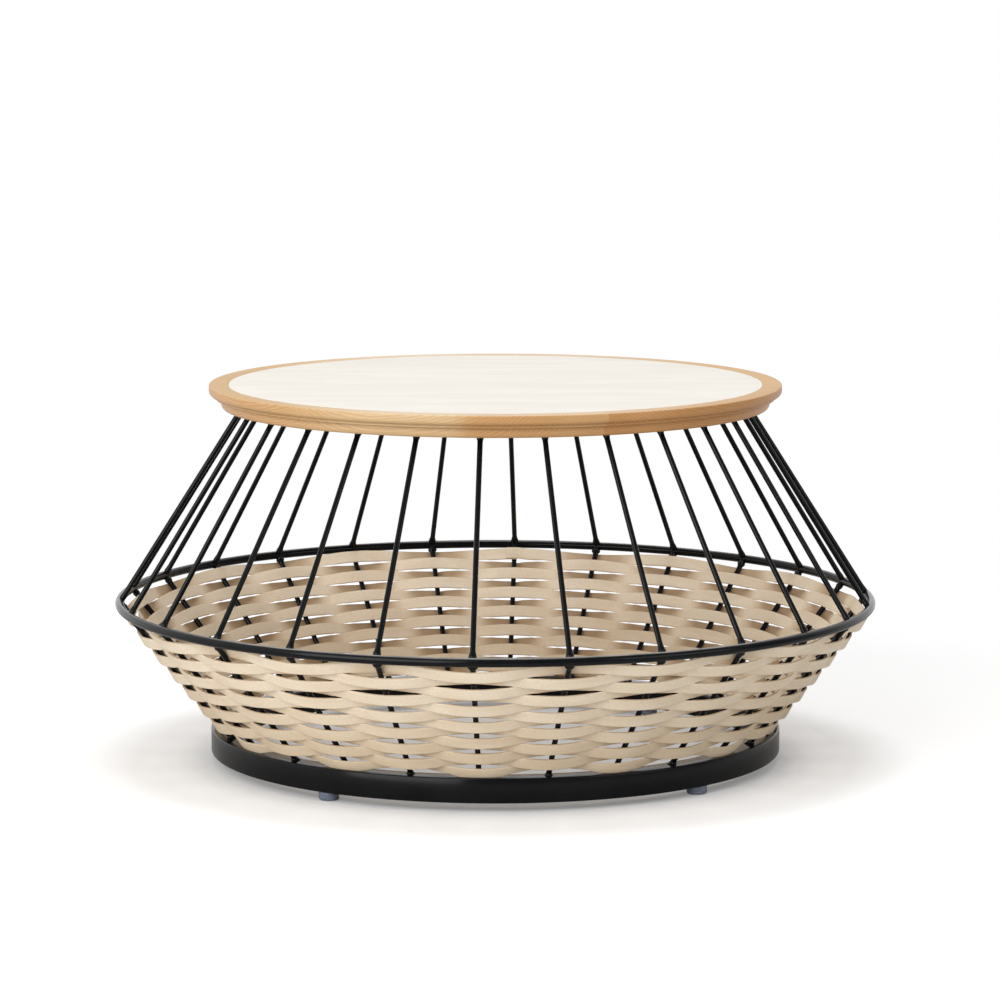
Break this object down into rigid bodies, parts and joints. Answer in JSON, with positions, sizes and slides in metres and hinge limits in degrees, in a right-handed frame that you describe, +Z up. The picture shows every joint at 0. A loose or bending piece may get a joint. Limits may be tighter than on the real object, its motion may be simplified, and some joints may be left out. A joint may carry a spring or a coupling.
{
  "type": "round coffee table",
  "caption": "Low round table: a cage of bent black rods flares to a mid ring, with a strap basket woven on its lower half and a wood-rimmed stone top.",
  "frame": {"origin": "on the floor, at the centre of the round table", "axes": "+Z up; -Y is the side that the picture shows"},
  "size_m": [0.8626, 0.8626, 0.4281],
  "materials": {
    "stone": "honed",
    "board": "raw plywood",
    "wood": "oiled",
    "paint": "satin powder coat",
    "strap": "flat woven strap",
    "glide": "translucent",
    "steel": "zinc plated"
  },
  "bodies": {
    "root": {"top_inlay": "stone", "top_board": "board", "rim_segment_1": "wood", "rim_segment_2": "wood", "rim_segment_3": "wood", "rim_segment_4": "wood", "rim_segment_5": "wood", "rim_segment_6": "wood", "top_ring": "paint", "mid_ring": "paint", "base_ring": "paint", "rib_01": "paint", "rib_02": "paint", "rib_03": "paint", "rib_04": "paint", "rib_05": "paint", "rib_06": "paint", "rib_07": "paint", "rib_08": "paint", "rib_09": "paint", "rib_10": "paint", "rib_11": "paint", "rib_12": "paint", "rib_13": "paint", "rib_14": "paint", "rib_15": "paint", "rib_16": "paint", "rib_17": "paint", "rib_18": "paint", "rib_19": "paint", "rib_20": "paint", "rib_21": "paint", "rib_22": "paint", "rib_23": "paint", "rib_24": "paint", "rib_25": "paint", "rib_26": "paint", "top_screw_1": "steel", "top_screw_2": "steel", "top_screw_3": "steel", "top_screw_4": "steel", "top_screw_5": "steel", "top_screw_6": "steel", "glide_1": "glide", "glide_2": "glide", "glide_3": "glide", "glide_4": "glide", "strap_row_01": "strap", "strap_row_02": "strap", "strap_row_03": "strap", "strap_row_04": "strap", "strap_row_05": "strap", "strap_row_06": "strap", "strap_row_07": "strap", "strap_row_08": "strap", "strap_row_09": "strap", "strap_row_10": "strap", "strap_row_11": "strap", "strap_row_12": "strap", "strap_row_13": "strap"}
  },
  "joints": []
}
